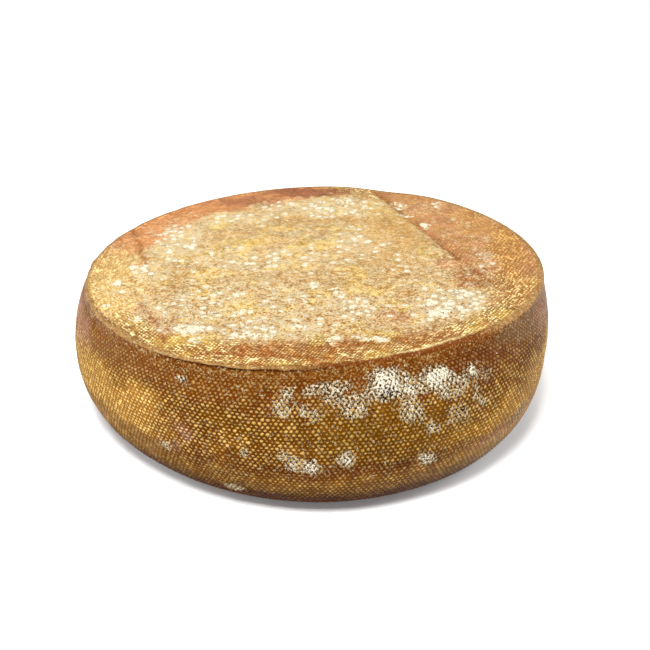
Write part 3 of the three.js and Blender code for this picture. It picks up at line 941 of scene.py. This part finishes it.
    # White mould: where it is thin it lies between the knobs and leaves their crests bare
    reach = strayed(mould, (crumbs, 1.1), (fine, 0.8), (knobby, 0.6))
    tufts = add(tree, "ShaderNodeTexVoronoi", [("Vector", millimetres), ("Scale", 1 / 4.4)])
    tuft_lucks = split(tufts.outputs["Color"])
    tuft = strayed(tufts.outputs["Distance"], (ragged, 1.2), (knobby, 0.7))
    grown = ramp(calc("MULTIPLY_ADD", mould, 1.5, calc("MULTIPLY", tuft_lucks[0], -1.0)), -0.1, 0.4)
    tuft = calc("MULTIPLY", ramp(tuft, 0.65, 0.2), grown)
    clumped = calc("MULTIPLY_ADD", tuft, 0.72, calc("MULTIPLY_ADD", mould, -0.25, reach))
    reach = mix_values(flat, reach, clumped)
    thin = ramp(reach, 0.12, 0.34)
    bare = calc("MULTIPLY", ramp(tops, 0.25, 0.6), ramp(lucks[2], 0.05, 0.6, 0.25, 0.92))
    web = calc("MULTIPLY", thin, calc("SUBTRACT", 1.0, bare))
    web = calc("MULTIPLY", web, calc("SUBTRACT", 1.0, flat))
    colour = mix(calc("MULTIPLY", thin, 0.3), colour, mix(flat, rgba("a8834c"), rgba("d2c39c")))
    # The web and the thick mould are painted a little lighter on each knob's upper side, as painted light
    # from above
    lacy_and_lit = calc("MULTIPLY_ADD", fine, 0.4, calc("MULTIPLY", upper, 0.08))
    lacy_and_lit = ramp(calc("MULTIPLY_ADD", crumbs, 0.6, lacy_and_lit), 0.5, 0.62)
    colour = mix(web, colour, mix(lacy_and_lit, rgba("462d10"), rgba("bcb095")))
    thick = calc("MULTIPLY_ADD", flat, 0.14, calc("MULTIPLY_ADD", tops, -0.28, reach))
    thick = ramp(thick, 0.57, 0.72)
    fluffy_and_lit = calc("MULTIPLY_ADD", fine, 0.5, calc("MULTIPLY", upper, 0.1))
    fluffy_and_lit = ramp(calc("MULTIPLY_ADD", crumbs, 0.5, fluffy_and_lit), 0.46, 0.57)
    fluff = mix(fluffy_and_lit, mix(flat, rgba("4c3212"), rgba("b3a27c")), rgba("cdc5b0"))
    colour = mix(thick, colour, fluff)
    mouldy = calc("MAXIMUM", web, thick)

    holes = calc("MULTIPLY_ADD", web, 0.4, calc("MULTIPLY", pits, 0.7))
    holes = strayed(holes, (crumbs, -1.5), (fine, -0.9))
    holes = calc("MULTIPLY_ADD", tops, -0.25, holes)
    porous = calc("MULTIPLY", mouldy, calc("MULTIPLY_ADD", thick, -0.4, 0.6))
    # Painted shade: in the mould, a dark dot just below each knob, where its shade falls, among the real
    # holes
    holes = calc("MULTIPLY_ADD", pores_and_shade, porous, holes)
    holed_and_shaded = ramp(holes, 0.5, 0.68)
    colour = mix(holed_and_shaded, colour, mix(flat, rgba("2e1c0c"), rgba("5e3a16")))

    # Heights in millimetres
    relief = calc("MULTIPLY", tops, KNOB_RISE)
    relief = calc("MULTIPLY_ADD", fine, 0.22, relief)
    relief = calc("MULTIPLY_ADD", crumbs, 0.35, relief)
    relief = calc("MULTIPLY_ADD", calc("MULTIPLY", felt, film), 0.25, relief)
    relief = calc("MULTIPLY_ADD", mouldy, 0.3, relief)
    relief = calc("MULTIPLY_ADD", holed_and_shaded, -0.5, relief)
    bumped = add(tree, "ShaderNodeBump", [("Strength", 1.0), ("Distance", MM), ("Height", relief)])
    roughness = ramp(mouldy, 0, 1, 0.42, 0.95)
    shader = add(tree, "ShaderNodeBsdfPrincipled", [
        ("Base Color", colour), ("Roughness", roughness), ("Normal", bumped.outputs[0]),
        ("Specular IOR Level", 0.06), ("Specular Tint", rgba("e39a3c")),
    ])
    add(tree, "ShaderNodeOutputMaterial", [(0, shader.outputs[0])])
    return material


def white_paper():
    """Matt white background paper on a light table: it gives back nearly all light, has no gloss, and
    glows a little, so that shadows on it stay pale."""
    material, tree = new_material("white_paper")
    shader = add(tree, "ShaderNodeBsdfPrincipled", [
        ("Base Color", rgba("f4f4f4")), ("Roughness", 0.9), ("Specular IOR Level", 0.1),
        ("Emission Color", (1, 1, 1, 1)), ("Emission Strength", 0.12),
    ])
    add(tree, "ShaderNodeOutputMaterial", [(0, shader.outputs[0])])
    return material


# ---------------------------------------------------------------- stage

CAMERA_DISTANCE = 840  # from a point on the wheel's axis, as high above the floor as the lift
CAMERA_LIFT = 46.2
CAMERA_ELEVATION = 28.353
CAMERA_YAW = 0.627
CAMERA_PITCH = -0.205
SENSOR = 36
FOCAL_LENGTH = 1361 / 650  # for each width of the sensor
FLOOR_SIZE = 8  # in metres
LIGHT_AIM = (0, 0, 40)
WORLD_STRENGTH = 0.3


def set_camera(shift):
    lift = math.radians(CAMERA_ELEVATION)
    look = math.radians(CAMERA_ELEVATION + CAMERA_PITCH)
    yaw = math.radians(CAMERA_YAW)
    place = Vector((-shift[0], -CAMERA_DISTANCE * math.cos(lift) - shift[1],
                    CAMERA_DISTANCE * math.sin(lift) + CAMERA_LIFT))
    ahead = Vector((math.sin(yaw) * math.cos(look), math.cos(yaw) * math.cos(look), -math.sin(look)))
    data = bpy.data.cameras.new("camera")
    data.sensor_width = SENSOR
    data.lens = FOCAL_LENGTH * SENSOR
    data.clip_start = 0.05
    data.clip_end = 50
    camera = bpy.data.objects.new("camera", data)
    bpy.context.scene.collection.objects.link(camera)
    camera.location = place * MM
    camera.rotation_euler = ahead.to_track_quat("-Z", "Y").to_euler()
    bpy.context.scene.camera = camera


def area_light(name, place, size, power):
    """A white light turned to the wheel: place and size in millimetres, power in watts."""
    data = bpy.data.lights.new(name, "AREA")
    data.shape = "RECTANGLE"
    data.size, data.size_y = size[0] * MM, size[1] * MM
    data.energy = power
    light = bpy.data.objects.new(name, data)
    bpy.context.scene.collection.objects.link(light)
    light.location = Vector(place) * MM
    light.rotation_euler = (Vector(LIGHT_AIM) - Vector(place)).to_track_quat("-Z", "Y").to_euler()


def set_stage():
    bpy.ops.mesh.primitive_plane_add(size=FLOOR_SIZE, location=(0, 0, 0))
    floor = only(bpy.context.object)
    floor.name = "floor"
    floor.data.materials.append(white_paper())
    world = bpy.data.worlds.new("studio")
    world.use_nodes = True
    bpy.context.scene.world = world
    background = world.node_tree.nodes["Background"]
    background.inputs["Color"].default_value = (1, 1, 1, 1)
    background.inputs["Strength"].default_value = WORLD_STRENGTH
    area_light("key_softbox", (-160, -660, 1090), (420, 380), 21)
    area_light("overhead_softbox", (0, 700, 1300), (1100, 600), 7)
    area_light("left_softbox", (-1200, 0, 450), (500, 700), 7)
    area_light("right_softbox", (1100, 50, 600), (500, 700), 8)
    bpy.context.scene.view_settings.view_transform = "Standard"


# ---------------------------------------------------------------- the scene

rows = row_heights()
wheel = make_skin(rows)
skin = Skin(wheel, rows)
print_lattice(wheel, skin, rows)
shift = push_out_of_round(wheel, skin)
paint = Paint(skin, places(wheel) + np.array([*shift, 0]))
press_print(wheel, skin, paint)
write_colours(wheel, "valley", paint.valley, skin.on_top.astype(float))
write_colours(wheel, "crest", paint.crest, paint.wear_and_highlight)
write_colours(wheel, "covered", np.column_stack([paint.printed, paint.mould, paint.pits]), paint.film)
wheel.data.materials.append(washed_rind())
wheel.data.shade_smooth()
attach(wheel, "root")
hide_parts("cheese_wheel")

set_stage()
set_camera(shift)
